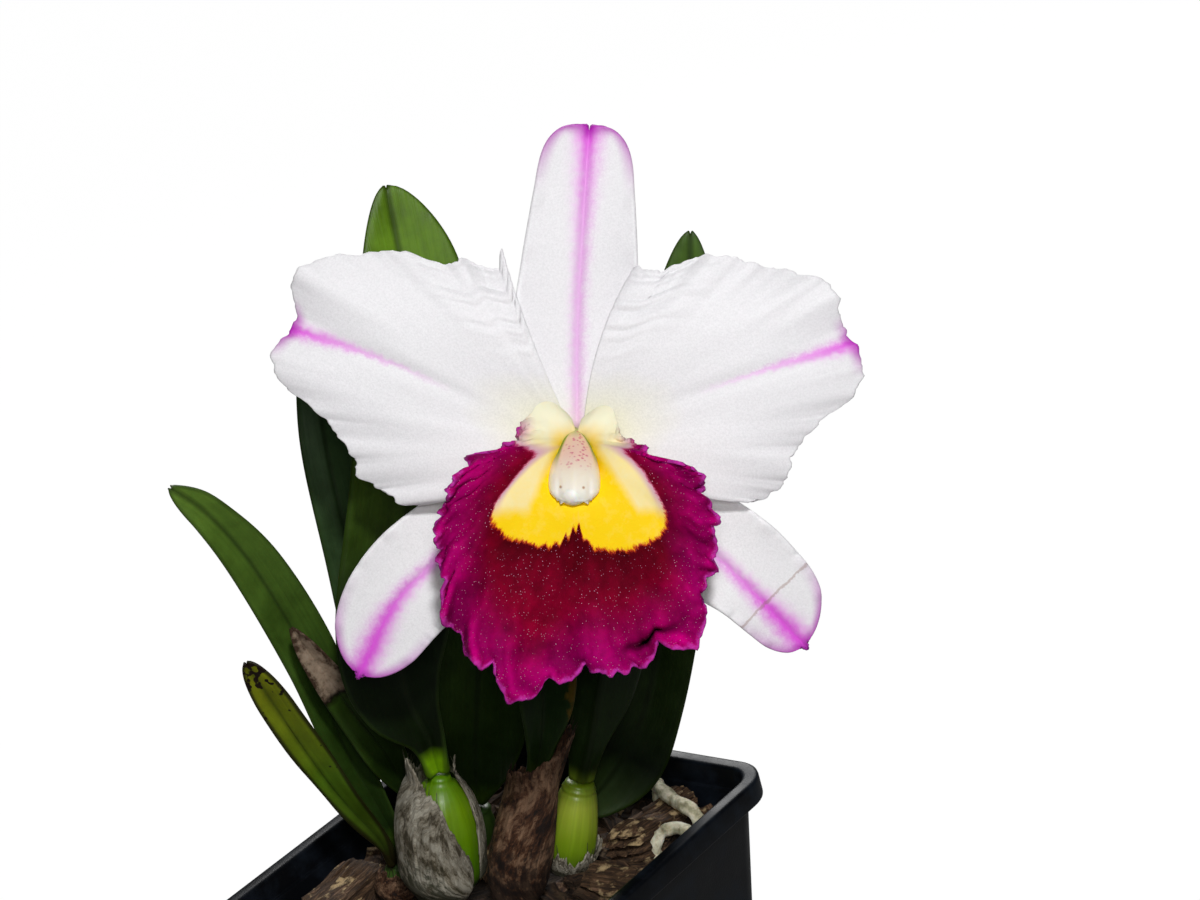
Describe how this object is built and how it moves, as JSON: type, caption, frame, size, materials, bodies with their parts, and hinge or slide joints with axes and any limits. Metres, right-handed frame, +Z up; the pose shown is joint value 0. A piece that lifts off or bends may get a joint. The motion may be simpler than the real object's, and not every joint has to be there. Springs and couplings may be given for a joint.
{
  "type": "potted cattleya orchid",
  "caption": "Cattleya orchid in a square black nursery pot of bark: white sepals and petals, a frilled crimson lip with a yellow throat, and strap leaves on pseudobulbs.",
  "frame": {"origin": "middle of the flat underside of the pot's floor", "axes": "+Z up, the flower faces -Y, +X is to the viewer's right"},
  "size_m": [0.1399, 0.1062, 0.2022],
  "materials": {
    "pot": "moulded, satin",
    "bark_mix": "rough broken bark",
    "rhizome": "dry, ridged",
    "root": "matt, spongy skin",
    "pseudobulb_lime": "waxy",
    "pseudobulb_yellow_green": "waxy",
    "pseudobulb_green": "waxy",
    "sheath_grey": "dry, papery",
    "sheath_brown": "dry, mottled",
    "leaf_green": "leathery, satin",
    "leaf_dark_green": "leathery, satin",
    "leaf_yellow_green": "leathery, spotted at the tip",
    "petal_white": "soft, faintly sparkling",
    "lip_crimson": "velvety",
    "column_cream": "waxy",
    "anther_white": "waxy",
    "flower_stalk_green": "smooth"
  },
  "bodies": {
    "root": {"pot": "pot", "potting_mix": "bark_mix", "rhizome": "rhizome", "root_1": "root", "root_2": "root", "root_3": "root", "pseudobulb_a": "pseudobulb_lime", "pseudobulb_c": "pseudobulb_yellow_green", "pseudobulb_b": "pseudobulb_green", "pseudobulb_d": "pseudobulb_green", "pseudobulb_e": "pseudobulb_green", "pseudobulb_f": "pseudobulb_green", "pseudobulb_g": "pseudobulb_green", "sheath_a": "sheath_grey", "sheath_a_strip": "sheath_grey", "sheath_c": "sheath_grey", "sheath_b": "sheath_brown", "sheath_e": "sheath_brown", "sheath_f": "sheath_brown", "leaf_a": "leaf_green", "leaf_c": "leaf_green", "leaf_g": "leaf_green", "leaf_b": "leaf_dark_green", "leaf_e": "leaf_dark_green", "leaf_f": "leaf_dark_green", "leaf_h": "leaf_dark_green", "leaf_i": "leaf_dark_green", "leaf_d": "leaf_yellow_green", "dorsal_sepal": "petal_white", "lateral_sepal_left": "petal_white", "lateral_sepal_right": "petal_white", "petal_left": "petal_white", "petal_right": "petal_white", "lip": "lip_crimson", "column": "column_cream", "anther_cap": "anther_white", "flower_stalk": "flower_stalk_green"}
  },
  "joints": []
}
